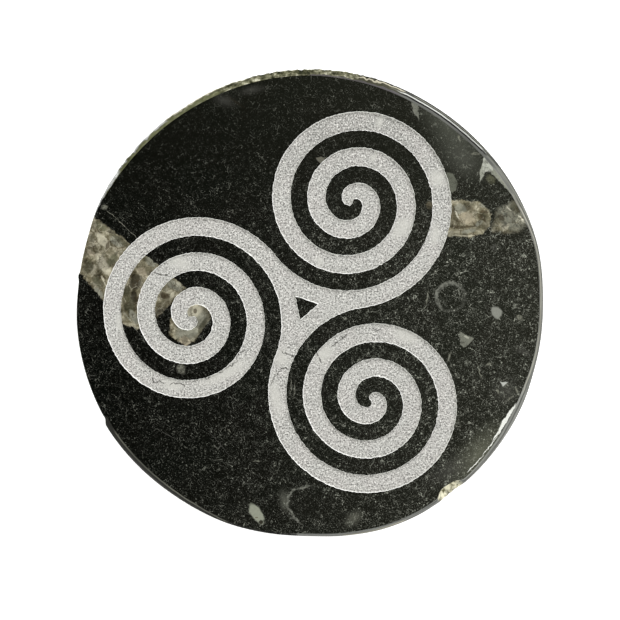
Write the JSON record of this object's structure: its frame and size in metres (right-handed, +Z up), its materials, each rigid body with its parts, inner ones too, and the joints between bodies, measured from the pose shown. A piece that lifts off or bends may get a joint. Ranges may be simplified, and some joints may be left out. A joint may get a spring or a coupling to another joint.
{
  "type": "orthoceras fossil disc",
  "caption": "Round polished slab of black fossil limestone with a sandblasted triple spiral in its face, lying flat as a small plate or coaster.",
  "frame": {"origin": "middle of the disc's outline, on the flat underside it rests on", "axes": "+Z up out of the engraved face, +Y towards the top of the picture, +X towards its right"},
  "size_m": [0.1001, 0.1002, 0.009],
  "materials": {
    "stone": "polished, with a matt sandblasted groove"
  },
  "bodies": {
    "root": {"fossil_disc": "stone"}
  },
  "joints": []
}
